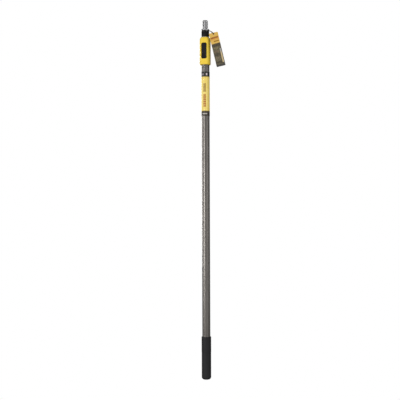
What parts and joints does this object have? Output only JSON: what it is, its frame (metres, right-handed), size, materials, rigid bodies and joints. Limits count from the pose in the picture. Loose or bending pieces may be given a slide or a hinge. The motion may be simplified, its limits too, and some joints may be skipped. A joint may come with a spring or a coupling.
{
  "type": "telescoping roller extension pole",
  "caption": "Telescoping pole for a paint roller: fluted outer tube with a grip, push-button lock housing, and a hexagonal inner tube ending in a threaded tip with a hang tag.",
  "frame": {"origin": "centre of the flat butt end of the grip", "axes": "+Z along the pole towards the threaded tip, -Y towards the lock button"},
  "size_m": [0.0922, 0.0418, 1.25],
  "materials": {
    "tube_aluminium": "satin, lengthways drawn lines",
    "inner_aluminium": "satin, lengthways drawn lines",
    "grip_rubber": "matt, fine grain",
    "black_plastic": "satin moulded",
    "yellow_plastic": "semi-gloss moulded",
    "glide_plastic": "satin moulded",
    "label_film": "printed film, semi-gloss",
    "dark_steel": "blackened",
    "steel": "zinc plated",
    "tip_metal": "die cast, lightly polished crests",
    "string_fibre": "twisted fibre",
    "tag_card": "printed and coated"
  },
  "bodies": {
    "outer_pole": {"outer_tube": "tube_aluminium", "grip_sleeve": "grip_rubber", "end_plug": "black_plastic", "label_sleeve": "label_film", "lock_housing_front": "yellow_plastic", "lock_housing_rear": "yellow_plastic", "housing_screw_1": "dark_steel", "housing_screw_2": "dark_steel", "housing_screw_3": "dark_steel", "housing_screw_4": "dark_steel", "tube_screw": "dark_steel", "guide_bush": "black_plastic", "button_pivot_pin": "steel", "button_spring": "steel", "lock_pin_bush": "steel"},
    "inner_pole": {"inner_tube": "inner_aluminium", "pole_glide": "glide_plastic", "glide_rivet": "steel", "tip_ferrule": "black_plastic", "ferrule_rivet": "steel", "threaded_tip": "tip_metal", "tip_cross_pin": "steel"},
    "button": {"release_button": "black_plastic"},
    "pin": {"lock_pin": "steel"},
    "tag_loop": {"tag_string": "string_fibre", "tag_knot": "string_fibre"},
    "tag": {"hang_tag": "tag_card"}
  },
  "joints": [
    {"name": "pole_extension", "type": "slide", "parent": "outer_pole", "child": "inner_pole", "axis": [0, 0, 1], "range_m": [0, 1.016]},
    {"name": "button_press", "type": "hinge", "parent": "outer_pole", "child": "button", "pos_m": [0, -0.0166, 1.142], "axis": [1, 0, 0], "range_deg": [-5, 1.5], "stiffness_Nm_per_rad": 0.4, "springref_deg": -22.92, "deforming": ["button_spring"]},
    {"name": "lock_pin_slide", "type": "slide", "parent": "outer_pole", "child": "pin", "axis": [0, -1, 0], "range_m": [-0.00195, 0.0006]},
    {"name": "tag_turn", "type": "hinge", "parent": "inner_pole", "child": "tag_loop", "pos_m": [0, 0, 1.2135], "axis": [0, 0, 1], "continuous": true},
    {"name": "tag_swing", "type": "hinge", "parent": "tag_loop", "child": "tag", "pos_m": [0.03373, -0.01941, 1.1975], "axis": [0.225, -0.9744, 0], "range_deg": [0, 50]}
  ],
  "couplings": [
    {"joint": "lock_pin_slide", "follows": "button_press", "m_per_rad": 0.022}
  ]
}
